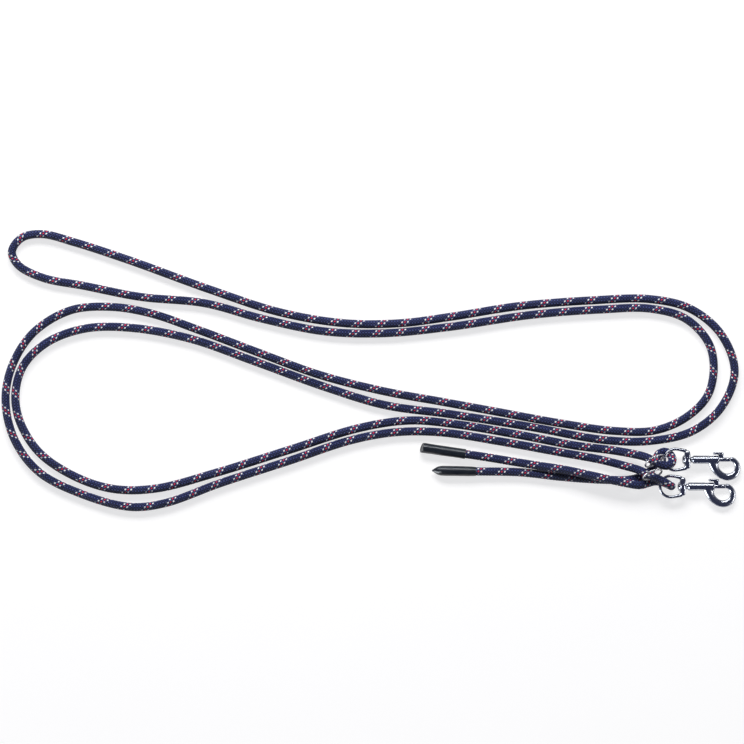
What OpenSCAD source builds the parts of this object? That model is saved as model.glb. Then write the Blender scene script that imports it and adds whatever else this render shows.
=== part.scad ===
// Rope with a swivel bolt snap and a slip ring at each end, laid out in loops on a flat surface.
// All lengths are in millimetres, +Z is up and the surface it lies on is z = 0.

/* [Rope] */
// Diameter of the braided rope
rope_d = 9.5; // [9.3:0.1:9.6]
// Longest distance between two rings of the rope's surface
ring_step = 28; // [24:2:40]
// Sides of the rope's cross section
rope_sides = 10; // [8:2:12]
// Length of the sleeve shrunk over each rope tip
sleeve_len = 48; // [40:1:52]
// Wall of the sleeve
sleeve_wall = 0.7; // [0.5:0.1:0.7]

/* [Slip ring] */
// Wire diameter of the slip ring
slip_wire_d = 2; // [1.6:0.1:2.2]
// Radius of the slip ring, to the middle of its wire
slip_r = 11; // [10.6:0.1:11.4]

/* [Swivel eye] */
// Wire diameter of the eye's bow
eye_wire_d = 3; // [2.6:0.1:3.2]
// Half width of the bow, to the middle of its wire
eye_r = 11.6; // [11:0.1:12]
// Thickness of the eye's base bar along the snap
bar_t = 7; // [6:0.1:7.4]
// Height of the base bar
bar_h = 6.4; // [5.6:0.1:7]
// Width of the base bar, across the snap
bar_w = 21; // [20:0.1:22]

/* [Bolt snap] */
// Outer diameter of the barrel
barrel_d = 9.4; // [9:0.1:9.6]
// Length of the barrel
barrel_len = 28.6; // [28:0.1:29.4]
// Diameter of the sliding bolt
bolt_d = 5; // [4.6:0.1:5.2]
// Travel of the bolt from shut to open
bolt_travel = 10; // [8:0.5:10]
// Thickness of the hook
hook_t = 5.6; // [5:0.1:5.8]
// Length of the thumb knob's plate
knob_len = 11.6; // [10:0.1:12]
// Turns of the spring
spring_turns = 7; // [6:1:8]

/* [Hidden] */
$fn = 48;

gap = 0.3;              // clearance between faces that pass each other
fit = 0.08;             // radial clearance of a running shaft
rope_r = rope_d / 2;
sleeve_r = rope_r + sleeve_wall;

// Places of the two snaps: the middle of the eye's far wire, and the snap's droop to the surface.
snap_1_at = [322.5, -98, 11.8];
snap_2_at = [317.5, -127.5, 11.6];
droop = 5.9;

// Stations along a snap, from the eye's far wire towards the hook.
bar_x = 21.8;                                // inner face of the eye's base bar
bar_end = bar_x + bar_t;
bar_edge = 0.8;                              // depth of the step round the bar's edges
leg_len = bar_x + 2.5 - eye_r;               // each leg of the bow, and how far it leans in
leg_turn = atan2(eye_r - bar_w / 2 + 0.9, leg_len);
neck_x = bar_end + gap;                      // rear face of the barrel's neck
barrel_x = neck_x + 2.2;
barrel_end = barrel_x + barrel_len;
pin_r = 2;
pin_head_r = 4.9;
pin_head_t = 2;
pin_end = barrel_x + 4;
spring_x = pin_end;
bolt_x = barrel_end - 9.3;                   // rear end of the bolt
nose_x = barrel_end + 11.8;                  // inner face of the hook's nose
notch = 1.2;                                 // depth of the bolt's seat in the nose
bolt_end = nose_x + notch - 0.2;
stem_x = barrel_end + gap;
stem_len = 6.4;
stem_w = 3;
knob_top = 8.3;
knob_t = 2.6;
knob_w = 7.2;
knob_end = stem_x + stem_len - 1;

// The rope's route, from the tip of the lower tail, through both snaps, to the tip of the upper tail.
lower_tail = [
    [68, -110, sleeve_r], [92, -110.5, sleeve_r], [117, -111, sleeve_r], [164, -112, rope_r],
    [210, -117, rope_r], [252, -120, rope_r], [285, -120, rope_r], [297.5, -116.5, rope_r],
    [305.5, -112, rope_r], [311, -105, rope_r], [313.5, -99, rope_r]
];
upper_knot = [
    [315, -94, rope_r], [318.5, -90.5, rope_r], [324, -89.5, rope_r], [328.5, -92, 5.5],
    [331, -96.5, 10.5], [330, -101.5, 15.5], [324.5, -104.5, 19], [317.5, -103, 19],
    [310, -99, 18], [301.5, -95, 15], [289.5, -92, 9.5], [267, -88, 5.5]
];
inner_run = [
    [224, -82.5, rope_r], [164, -71, rope_r], [92, -59, rope_r], [43, -55, rope_r],
    [-12, -63, rope_r], [-89, -87, rope_r], [-172, -113, rope_r], [-238, -130, rope_r],
    [-285, -130, rope_r], [-329, -115, rope_r], [-366, -89, rope_r], [-387, -54, rope_r],
    [-391, -24, rope_r], [-382, 6, rope_r], [-356, 31, rope_r], [-315, 46, rope_r],
    [-265, 47, rope_r], [-199, 35, rope_r], [-128, 10, rope_r], [-51, -18, rope_r],
    [15, -38, rope_r], [87, -48, rope_r], [175, -62, rope_r], [257, -76.5, rope_r]
];
far_turn_out = [
    [307, -77.5, rope_r], [353, -67, rope_r], [385, -41, rope_r], [400, -1, rope_r],
    [385, 40, rope_r], [351, 68, rope_r], [307, 78.5, rope_r]
];
top_leg_out = [
    [241, 77, rope_r], [164, 71, rope_r], [87, 59, rope_r], [32, 52, rope_r], [-29, 52, rope_r],
    [-100, 64, rope_r], [-177, 89, rope_r], [-265, 121, rope_r], [-326, 141, rope_r]
];
bight = [
    [-362, 150, rope_r], [-384, 146, rope_r], [-395, 131, rope_r], [-388, 116, rope_r],
    [-361, 102, rope_r]
];
top_leg_back = [
    [-315, 93, rope_r], [-254, 81, rope_r], [-183, 74, rope_r], [-120, 57, rope_r],
    [-51, 43, rope_r], [15, 41, rope_r], [87, 48, rope_r], [175, 61, rope_r], [252, 67, rope_r]
];
far_turn_back = [
    [307, 68, rope_r], [346, 57, rope_r], [371, 31, rope_r], [377, 3, rope_r],
    [370, -28, rope_r], [346, -52, rope_r], [312, -66, rope_r]
];
outer_run = [
    [268, -66.5, rope_r], [208, -58, rope_r], [131, -44, rope_r], [76, -34, rope_r],
    [15, -23, rope_r], [-56, -5, rope_r], [-122, 19, rope_r], [-188, 44, rope_r],
    [-243, 63, rope_r], [-287, 70, rope_r], [-331, 66, rope_r], [-371, 42, rope_r],
    [-394, 7, rope_r], [-402, -31, rope_r], [-393, -74, rope_r], [-366, -111, rope_r],
    [-318, -136, rope_r], [-265, -150, rope_r], [-227, -146, rope_r], [-166, -124, rope_r],
    [-89, -99, rope_r], [-23, -77, rope_r], [26, -68, rope_r], [76, -68, rope_r],
    [142, -78, rope_r], [208, -90, rope_r], [252, -98, rope_r]
];
lower_knot = [
    [276, -104, 7.5], [293.5, -109, 13.5], [304.5, -114, 18], [315, -119, 18.5],
    [323, -123, 18.5], [328, -126, 16], [330, -127, 11.5], [328, -126, 7],
    [322.5, -123.5, rope_r], [312.5, -122, rope_r], [304, -124, 7], [295.5, -126, 11]
];
upper_tail = [
    [281.5, -124, 14], [263, -120, 15], [241, -115, 14], [213, -109, 12], [180, -104, 9],
    [155, -100, 5.5], [131, -96, rope_r], [105, -92, sleeve_r], [81, -88.5, sleeve_r],
    [57, -85, sleeve_r]
];
route = concat(
    lower_tail, upper_knot, inner_run, far_turn_out, top_leg_out, bight, top_leg_back,
    far_turn_back, outer_run, lower_knot, upper_tail
);

// --- Functions that sweep the rope ---------------------------------------------------------

// A point between two others, at the share s of the way.
function between(a, b, s) = a + (b - a) * s;

// A smooth curve through p1 and p2 that heads from p0 and for p3 (a centripetal spline), at share s.
function spline_point(p0, p1, p2, p3, s) =
    let (
        t1 = sqrt(norm(p1 - p0)), t2 = t1 + sqrt(norm(p2 - p1)), t3 = t2 + sqrt(norm(p3 - p2)),
        t = t1 + s * (t2 - t1),
        a1 = between(p0, p1, t / t1), a2 = between(p1, p2, (t - t1) / (t2 - t1)),
        a3 = between(p2, p3, (t - t2) / (t3 - t2)),
        b1 = between(a1, a2, t / t2), b2 = between(a2, a3, (t - t1) / (t3 - t1))
    )
    between(b1, b2, (t - t1) / (t2 - t1));

// The rope never sinks below the surface it lies on.
function lifted(p) = [p[0], p[1], max(p[2], rope_r)];

// The middles of the rope's rings: each route point, and more between two that lie far apart.
function rope_line(p) =
    let (last = len(p) - 1)
    [
        for (i = [0 : last - 1])
            let (
                before = i == 0 ? 2 * p[0] - p[1] : p[i - 1],
                after = i == last - 1 ? 2 * p[last] - p[last - 1] : p[i + 2],
                parts = ceil(norm(p[i + 1] - p[i]) / ring_step)
            )
            for (k = [0 : parts - 1]) lifted(spline_point(before, p[i], p[i + 1], after, k / parts)),
        p[last]
    ];

function unit(v) = v / norm(v);

// Direction of a line of points at each point.
function headings(p) =
    let (last = len(p) - 1)
    [for (i = [0 : last]) unit(p[min(i + 1, last)] - p[max(i - 1, 0)])];

// A sideways direction carried along the line with no twist.
function carried(side, heading) = unit(side - heading * (side * heading));
function sides_along(h) =
    [for (i = 0, s = carried([0, 1, 0], h[0]); i < len(h); i = i + 1, s = carried(s, h[min(i, len(h) - 1)])) s];

// A closed tube of radius r and n sides round a line of points, with a corner straight down.
module swept_tube(p, r, n) {
    h = headings(p);
    side = sides_along(h);
    count = len(p);
    corners = [
        for (i = [0 : count - 1])
            let (up = cross(h[i], side[i]))
            for (k = [0 : n - 1])
                let (a = 90 + 360 * k / n)
                p[i] + r * (cos(a) * side[i] - sin(a) * up)
    ];
    walls = [
        for (i = [0 : count - 2])
            for (k = [0 : n - 1])
                let (a = i * n + k, b = i * n + (k + 1) % n)
                each [[a, b, a + n], [b, b + n, a + n]]
    ];
    start_cap = [[for (k = [0 : n - 1]) n - 1 - k]];
    end_cap = [[for (k = [0 : n - 1]) (count - 1) * n + k]];
    polyhedron(points = corners, faces = concat(walls, start_cap, end_cap));
}

// --- Placing helpers -----------------------------------------------------------------------

// Moves a part from the snap's own axes, +X towards the hook, to its place.
module at_snap(place) {
    translate(place) rotate([0, droop, 0]) children();
}

// A cylinder along +X from x = from to x = to.
module rod_x(r, from, to) {
    translate([from, 0, 0]) rotate([0, 90, 0]) cylinder(r = r, h = to - from);
}

// A disc with rounded rim, along +X.
module button_x(r, from, thick, round_r) {
    translate([from, 0, 0]) rotate([0, 90, 0])
        rotate_extrude() {
            square([r - round_r, thick]);
            square([r, thick - round_r]);
            translate([r - round_r, thick - round_r]) circle(r = round_r, $fn = 24);
        }
}

// --- Rope ------------------------------------------------------------------------------------

module braided_rope() {
    color([0.16, 0.18, 0.42]) swept_tube(rope_line(route), rope_r, rope_sides);
}

// A sleeve of heat-shrink tube from the rope's tip towards the next route points.
module tip_sleeve(tip, inward) {
    d = inward - tip;
    turn = atan2(d[1], d[0]);
    color([0.08, 0.08, 0.09])
        translate([tip[0], tip[1], sleeve_r]) rotate([0, 0, turn]) rotate([0, 90, 0])
            difference() {
                translate([0, 0, -1]) cylinder(r = sleeve_r, h = sleeve_len + 1);
                translate([0, 0, -2]) cylinder(r = rope_r + 0.02, h = sleeve_len + 4);
            }
}
module rope_tip_sleeve_1() { tip_sleeve(upper_tail[9], upper_tail[7]); }
module rope_tip_sleeve_2() { tip_sleeve(lower_tail[0], lower_tail[2]); }

// --- Slip rings ------------------------------------------------------------------------------

module slip_ring(place, lean, turn, roll) {
    color([0.72, 0.73, 0.76])
        translate(place) rotate([0, 0, turn]) rotate([0, -roll, 0]) rotate([lean, 0, 0])
            rotate_extrude($fn = 72) translate([slip_r, 0]) circle(d = slip_wire_d, $fn = 24);
}
module slip_ring_1() { slip_ring([310.5, -99, 21.5], 65, 20, -22); }
module slip_ring_2() { slip_ring([308.5, -114, 21.5], 64, 8, -30); }

// --- Snap parts, in the snap's own axes --------------------------------------------------------

// The bow that the rope runs round, its base bar and the boss that the swivel pin turns in.
module swivel_eye() {
    color([0.70, 0.71, 0.74])
        difference() {
            union() {
                translate([eye_r, 0, 0]) rotate([0, 0, 90])
                    rotate_extrude(angle = 180, $fn = 72)
                        translate([eye_r, 0]) circle(d = eye_wire_d, $fn = 24);
                for (side = [-1, 1])
                    translate([eye_r, side * eye_r, 0]) rotate([0, 0, -side * leg_turn]) {
                        sphere(d = eye_wire_d);
                        rod_x(eye_wire_d / 2, 0, leg_len);
                    }
                translate([bar_x, -bar_w / 2, -bar_h / 2 + bar_edge])
                    cube([bar_t, bar_w, bar_h - 2 * bar_edge]);
                translate([bar_x + bar_edge, -bar_w / 2 + bar_edge, -bar_h / 2])
                    cube([bar_t - 2 * bar_edge, bar_w - 2 * bar_edge, bar_h]);
                rod_x(bar_h / 2 + 1, bar_x, bar_end);
            }
            rod_x(pin_r + fit, bar_x - 1, bar_end + 1);
        }
}

// The rivet that joins eye and barrel: a domed head inside the eye and a shank pressed in the barrel.
module swivel_pin() {
    head_x = bar_x - gap;
    color([0.62, 0.63, 0.66]) {
        rod_x(pin_r, head_x - pin_head_t / 2, pin_end);
        translate([head_x, 0, 0]) mirror([1, 0, 0]) button_x(pin_head_r, 0, pin_head_t, 0.8);
    }
}

// Side view of the hook, with its open throat under the bolt.
module hook_outline() {
    difference() {
        union() {
            translate([nose_x + 0.4, -11]) circle(r = 12.5, $fn = 96);
            polygon([
                [barrel_end - 11.6, -2], [barrel_end - 11.6, -5], [barrel_end - 10, -9.4],
                [barrel_end - 7.2, -14.2], [barrel_end - 3.3, -18], [barrel_end + 1.6, -21],
                [barrel_end + 6.2, -22.8], [nose_x, -23.4], [nose_x, -11], [barrel_end, -2]
            ]);
            translate([nose_x + 2.8, 0.2]) circle(r = 2.8);
            translate([nose_x + 2.8, -6]) square([5, 6]);
        }
        translate([nose_x - 1.4, -9]) circle(r = 7.2, $fn = 72);
        polygon([
            [barrel_end, -bolt_d / 2 - 0.1], [barrel_end - 0.4, -6], [barrel_end + 1.6, -10.4],
            [barrel_end + 5.4, -14.2], [nose_x - 1.4, -9], [nose_x + 0.3, -1.9], [nose_x, 6],
            [barrel_end, 6]
        ]);
    }
}

// Barrel and hook, one casting, bored for the pin, the spring and the bolt.
module hook_body() {
    color([0.74, 0.75, 0.78])
        difference() {
            union() {
                rod_x(3.2, neck_x, barrel_x + 1);
                rod_x(barrel_d / 2, barrel_x, barrel_end);
                translate([0, 0, -hook_t / 2]) linear_extrude(hook_t) hook_outline();
            }
            rod_x(pin_r, neck_x - 1, pin_end);
            rod_x(bolt_d / 2 + fit, pin_end - 0.01, nose_x + notch);
            translate([barrel_end - bolt_travel - 0.6, 0, -stem_w / 2 - gap])
                cube([bolt_travel + 1, barrel_d, stem_w + 2 * gap]);
        }
}

// The sliding bolt, with a cross hole for the knob's stem.
module bolt() {
    color([0.66, 0.67, 0.70])
        difference() {
            union() {
                rod_x(bolt_d / 2, bolt_x, bolt_end - 0.6);
                rod_x(bolt_d / 2 - 0.5, bolt_end - 0.8, bolt_end);
            }
            translate([stem_x + stem_len / 2, -bolt_d, 0]) rotate([-90, 0, 0]) cylinder(r = 1.2, h = 2 * bolt_d);
        }
}

// The thumb knob: a plate with a rounded top on a stem, with a peg pressed through the bolt.
module thumb_knob() {
    middle = stem_x + stem_len / 2;
    color([0.70, 0.71, 0.74]) {
        intersection() {
            translate([knob_end - knob_len, knob_top - knob_t, -knob_w / 2])
                cube([knob_len, knob_t, knob_w]);
            rod_x(knob_top, knob_end - knob_len - 1, knob_end + 1);
        }
        difference() {
            translate([stem_x, 1, -stem_w / 2]) cube([stem_len, knob_top - 2, stem_w]);
            rod_x(bolt_d / 2, stem_x - 1, stem_x + stem_len + 1);
        }
        translate([middle, -bolt_d / 2 + 0.4, 0]) rotate([-90, 0, 0]) cylinder(r = 1.2, h = bolt_d);
    }
}

// The spring behind the bolt: a stack of round turns on a straight wire along its side.
module bolt_spring() {
    wire_r = 0.35;
    coil_r = bolt_d / 2 - wire_r - 0.15;
    first = spring_x + wire_r + 0.02;
    last = bolt_x - wire_r - 0.02;
    color([0.55, 0.56, 0.58]) {
        for (k = [0 : spring_turns - 1])
            translate([first + (last - first) * k / (spring_turns - 1), 0, 0]) rotate([0, 90, 0])
                rotate_extrude($fn = 36) translate([coil_r, 0]) circle(r = wire_r, $fn = 16);
        translate([0, 0, -coil_r]) rod_x(wire_r * 0.7, first, last);
    }
}

// --- The parts in place --------------------------------------------------------------------------

module snap_1_swivel_eye() { at_snap(snap_1_at) swivel_eye(); }
module snap_1_swivel_pin() { at_snap(snap_1_at) swivel_pin(); }
module snap_1_hook_body() { at_snap(snap_1_at) hook_body(); }
module snap_1_bolt() { at_snap(snap_1_at) bolt(); }
module snap_1_thumb_knob() { at_snap(snap_1_at) thumb_knob(); }
module snap_1_spring() { at_snap(snap_1_at) bolt_spring(); }
module snap_2_swivel_eye() { at_snap(snap_2_at) swivel_eye(); }
module snap_2_swivel_pin() { at_snap(snap_2_at) swivel_pin(); }
module snap_2_hook_body() { at_snap(snap_2_at) hook_body(); }
module snap_2_bolt() { at_snap(snap_2_at) bolt(); }
module snap_2_thumb_knob() { at_snap(snap_2_at) thumb_knob(); }
module snap_2_spring() { at_snap(snap_2_at) bolt_spring(); }

braided_rope();
rope_tip_sleeve_1();
rope_tip_sleeve_2();
slip_ring_1();
slip_ring_2();
snap_1_swivel_eye();
snap_1_swivel_pin();
snap_1_hook_body();
snap_1_bolt();
snap_1_thumb_knob();
snap_1_spring();
snap_2_swivel_eye();
snap_2_swivel_pin();
snap_2_hook_body();
snap_2_bolt();
snap_2_thumb_knob();
snap_2_spring();
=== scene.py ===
"""A long braided rope with a swivel bolt snap and a slip ring at each end, laid out in loops.

Lengths are in metres, except inside the snap classes, whose sizes are in millimetres along the
snap's own axes: x from the far wire of the eye towards the hook, y towards the thumb knob.
"""

import logging
import math
from collections.abc import Sequence
from dataclasses import dataclass, field
from enum import Enum

import bpy
import numpy as np
from mathutils import Matrix


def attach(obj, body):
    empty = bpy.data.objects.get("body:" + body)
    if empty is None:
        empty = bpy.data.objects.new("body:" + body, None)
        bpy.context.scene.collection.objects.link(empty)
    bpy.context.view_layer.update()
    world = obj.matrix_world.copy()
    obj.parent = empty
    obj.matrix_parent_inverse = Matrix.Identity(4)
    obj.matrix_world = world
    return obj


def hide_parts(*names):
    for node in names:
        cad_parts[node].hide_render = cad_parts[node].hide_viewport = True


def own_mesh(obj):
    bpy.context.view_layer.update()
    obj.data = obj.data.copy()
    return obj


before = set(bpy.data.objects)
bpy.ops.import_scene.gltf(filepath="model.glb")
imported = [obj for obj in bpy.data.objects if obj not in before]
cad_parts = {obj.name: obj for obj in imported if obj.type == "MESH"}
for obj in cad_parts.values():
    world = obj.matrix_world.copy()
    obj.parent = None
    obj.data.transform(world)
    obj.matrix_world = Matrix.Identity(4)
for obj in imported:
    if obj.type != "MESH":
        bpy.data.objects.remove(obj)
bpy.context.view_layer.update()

LOG = logging.getLogger("lead_rope")
Points = np.ndarray

ROPE_RADIUS = 0.00475
SLEEVE_RADIUS = 0.00545
LOW = ROPE_RADIUS      # height of the rope's middle where it lies on the surface
TIP = SLEEVE_RADIUS    # and where it lies in a sleeve
SKIM = 0.00002         # the least height of a sleeve above the surface

# The rope's route, from the tip of the lower tail, through both snaps, to the tip of the upper tail.
LOWER_TAIL = [
    (0.068, -0.11, TIP), (0.092, -0.1105, TIP), (0.117, -0.111, TIP), (0.164, -0.112, LOW),
    (0.21, -0.117, LOW), (0.252, -0.12, LOW), (0.285, -0.12, LOW), (0.2975, -0.1165, LOW),
    (0.3055, -0.112, LOW), (0.311, -0.105, LOW), (0.3135, -0.099, LOW),
]
UPPER_KNOT = [
    (0.315, -0.094, LOW), (0.3185, -0.0905, LOW), (0.324, -0.0895, LOW), (0.3285, -0.092, 0.0055),
    (0.331, -0.0965, 0.0105), (0.33, -0.1015, 0.0155), (0.3245, -0.1045, 0.019),
    (0.3175, -0.103, 0.019), (0.31, -0.099, 0.018), (0.3015, -0.095, 0.015), (0.2895, -0.092, 0.0095),
    (0.267, -0.088, 0.0055),
]
INNER_RUN = [
    (0.224, -0.0825, LOW), (0.164, -0.071, LOW), (0.092, -0.059, LOW), (0.043, -0.055, LOW),
    (-0.012, -0.063, LOW), (-0.089, -0.087, LOW), (-0.172, -0.113, LOW), (-0.238, -0.13, LOW),
    (-0.285, -0.13, LOW), (-0.329, -0.115, LOW), (-0.366, -0.089, LOW), (-0.387, -0.054, LOW),
    (-0.391, -0.024, LOW), (-0.382, 0.006, LOW), (-0.356, 0.031, LOW), (-0.315, 0.046, LOW),
    (-0.265, 0.047, LOW), (-0.199, 0.035, LOW), (-0.128, 0.01, LOW), (-0.051, -0.018, LOW),
    (0.015, -0.038, LOW), (0.087, -0.048, LOW), (0.175, -0.062, LOW), (0.257, -0.0765, LOW),
]
FAR_TURN_OUT = [
    (0.307, -0.0775, LOW), (0.353, -0.067, LOW), (0.385, -0.041, LOW), (0.4, -0.001, LOW),
    (0.385, 0.04, LOW), (0.351, 0.068, LOW), (0.307, 0.0785, LOW),
]
TOP_LEG_OUT = [
    (0.241, 0.077, LOW), (0.164, 0.071, LOW), (0.087, 0.059, LOW), (0.032, 0.052, LOW),
    (-0.029, 0.052, LOW), (-0.1, 0.064, LOW), (-0.177, 0.089, LOW), (-0.265, 0.121, LOW),
    (-0.326, 0.141, LOW),
]
BIGHT = [
    (-0.362, 0.15, LOW), (-0.384, 0.146, LOW), (-0.395, 0.131, LOW), (-0.388, 0.116, LOW),
    (-0.361, 0.102, LOW),
]
TOP_LEG_BACK = [
    (-0.315, 0.093, LOW), (-0.254, 0.081, LOW), (-0.183, 0.074, LOW), (-0.12, 0.057, LOW),
    (-0.051, 0.043, LOW), (0.015, 0.041, LOW), (0.087, 0.048, LOW), (0.175, 0.061, LOW),
    (0.252, 0.067, LOW),
]
FAR_TURN_BACK = [
    (0.307, 0.068, LOW), (0.346, 0.057, LOW), (0.371, 0.031, LOW), (0.377, 0.003, LOW),
    (0.37, -0.028, LOW), (0.346, -0.052, LOW), (0.312, -0.066, LOW),
]
OUTER_RUN = [
    (0.268, -0.0665, LOW), (0.208, -0.058, LOW), (0.131, -0.044, LOW), (0.076, -0.034, LOW),
    (0.015, -0.023, LOW), (-0.056, -0.005, LOW), (-0.122, 0.019, LOW), (-0.188, 0.044, LOW),
    (-0.243, 0.063, LOW), (-0.287, 0.07, LOW), (-0.331, 0.066, LOW), (-0.371, 0.042, LOW),
    (-0.394, 0.007, LOW), (-0.402, -0.031, LOW), (-0.393, -0.074, LOW), (-0.366, -0.111, LOW),
    (-0.318, -0.136, LOW), (-0.265, -0.15, LOW), (-0.227, -0.146, LOW), (-0.166, -0.124, LOW),
    (-0.089, -0.099, LOW), (-0.023, -0.077, LOW), (0.026, -0.068, LOW), (0.076, -0.068, LOW),
    (0.142, -0.078, LOW), (0.208, -0.09, LOW), (0.252, -0.098, LOW),
]
LOWER_KNOT = [
    (0.276, -0.104, 0.0075), (0.2935, -0.109, 0.0135), (0.3045, -0.114, 0.018), (0.315, -0.119, 0.0185),
    (0.323, -0.123, 0.0185), (0.328, -0.126, 0.016), (0.33, -0.127, 0.0115), (0.328, -0.126, 0.007),
    (0.3225, -0.1235, LOW), (0.3125, -0.122, LOW), (0.304, -0.124, 0.007), (0.2955, -0.126, 0.011),
]
UPPER_TAIL = [
    (0.2815, -0.124, 0.014), (0.263, -0.12, 0.015), (0.241, -0.115, 0.014), (0.213, -0.109, 0.012),
    (0.18, -0.104, 0.009), (0.155, -0.1, 0.0055), (0.131, -0.096, LOW), (0.105, -0.092, TIP),
    (0.081, -0.0885, TIP), (0.057, -0.085, TIP),
]
ROUTE = [
    *LOWER_TAIL, *UPPER_KNOT, *INNER_RUN, *FAR_TURN_OUT, *TOP_LEG_OUT, *BIGHT, *TOP_LEG_BACK,
    *FAR_TURN_BACK, *OUTER_RUN, *LOWER_KNOT, *UPPER_TAIL,
]


# --- Lines in space ---------------------------------------------------------------------------


def unit(vectors: Points) -> Points:
    """Vectors divided by their lengths, along the last axis."""
    return vectors / np.linalg.norm(vectors, axis=-1, keepdims=True)


def spline(points: Points, shares: int = 24) -> Points:
    """A centripetal spline through points: each span blends straight lines between four neighbours.

    Args:
        points: the points that the curve goes through, one row each, in any number of dimensions.
        shares: how many points to work out in each span.

    Returns:
        The points of the curve, one row each, in order.
    """
    p = np.vstack([2 * points[0] - points[1], points, 2 * points[-1] - points[-2]])
    knots = np.concatenate([[0.0], np.cumsum(np.sqrt(np.linalg.norm(np.diff(p[:, :3], axis=0), axis=1)))])
    t0, t1, t2, t3 = (knots[k:len(knots) - 3 + k, None, None] for k in range(4))
    p0, p1, p2, p3 = (p[k:len(p) - 3 + k, None, :] for k in range(4))
    t = t1 + (t2 - t1) * np.linspace(0, 1, shares, endpoint=False)[None, :, None]
    a1 = p0 + (p1 - p0) * (t - t0) / (t1 - t0)
    a2 = p1 + (p2 - p1) * (t - t1) / (t2 - t1)
    a3 = p2 + (p3 - p2) * (t - t2) / (t3 - t2)
    b1 = a1 + (a2 - a1) * (t - t0) / (t2 - t0)
    b2 = a2 + (a3 - a2) * (t - t1) / (t3 - t1)
    curve = b1 + (b2 - b1) * (t - t1) / (t2 - t1)
    return np.vstack([curve.reshape(-1, points.shape[1]), points[-1:]])


@dataclass
class Line:
    """A line in space with a side and an up direction carried along it without twist."""

    points: Points
    side: Points
    up: Points
    along: Points

    @classmethod
    def through(cls, points: Points, step: float, first_side: tuple[float, float, float]) -> "Line":
        """An evenly spaced line.

        Args:
            points: points close together on the line.
            step: the longest distance between two points of the new line.
            first_side: the side direction at the start, which needn't be square to the line.

        Returns:
            The line, with each side direction the last one less its part along the new heading.
        """
        reach = np.concatenate([[0.0], np.cumsum(np.linalg.norm(np.diff(points, axis=0), axis=1))])
        along = np.linspace(0, reach[-1], math.ceil(reach[-1] / step) + 1)
        even = np.stack([np.interp(along, reach, points[:, k]) for k in range(3)], axis=1)
        heading = unit(np.gradient(even, axis=0))
        side = np.empty_like(even)
        carried = np.array(first_side)
        for k, h in enumerate(heading):
            carried = carried - h * (carried @ h)
            carried = carried / math.sqrt(carried @ carried)
            side[k] = carried
        return cls(even, side, np.cross(heading, side), along)

    def reversed(self) -> "Line":
        """The same line from its other end."""
        return Line(self.points[::-1], -self.side[::-1], self.up[::-1], self.along[-1] - self.along[::-1])

    def at(self, along: Points) -> tuple[Points, Points, Points, Points]:
        """The line at some lengths along it. A length before its start goes straight on from there.

        Args:
            along: the lengths.

        Returns:
            The points, and the side, up and heading directions.
        """
        def taken(values: Points) -> Points:
            """The values at those lengths, between the line's own."""
            return np.stack([np.interp(along, self.along, values[:, k]) for k in range(3)], axis=1)

        side, up = unit(taken(self.side)), unit(taken(self.up))
        heading = np.cross(side, up)
        return taken(self.points) + heading * np.minimum(along, 0)[:, None], side, up, heading


# --- Meshes -------------------------------------------------------------------------------------


@dataclass
class Shape:
    """Vertices with the quads, triangles and optional surface coordinates that join them."""

    points: Points
    quads: Points
    tris: Points = field(default_factory=lambda: np.zeros((0, 3), int))
    surface: Points | None = None

    def moved(self, matrix: Points, offset: Points) -> "Shape":
        """The shape turned or scaled by a 3 by 3 matrix and then shifted."""
        return Shape(self.points @ matrix.T + offset, self.quads, self.tris, self.surface)

    def piece(self, name: str) -> bpy.types.Object:
        """Makes the shape a smooth mesh object, with its surface coordinates as a UV map.

        Args:
            name: the object's name.

        Returns:
            The object, linked to the scene.
        """
        mesh = bpy.data.meshes.new(name)
        corners = np.concatenate([self.quads.ravel(), self.tris.ravel()]).astype(np.int32)
        starts = np.concatenate([4 * np.arange(len(self.quads)),
                                 4 * len(self.quads) + 3 * np.arange(len(self.tris))]).astype(np.int32)
        mesh.vertices.add(len(self.points))
        mesh.vertices.foreach_set("co", self.points.astype(np.float32).ravel())
        mesh.loops.add(len(corners))
        mesh.loops.foreach_set("vertex_index", corners)
        mesh.polygons.add(len(starts))
        mesh.polygons.foreach_set("loop_start", starts)
        mesh.update(calc_edges=True)
        if self.surface is not None:
            layer = mesh.uv_layers.new(name="surface")
            layer.data.foreach_set("uv", self.surface.astype(np.float32).ravel())
        mesh.polygons.foreach_set("use_smooth", np.ones(len(starts), bool))
        mesh.update()
        piece = bpy.data.objects.new(name, mesh)
        bpy.context.scene.collection.objects.link(piece)
        return piece


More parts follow.
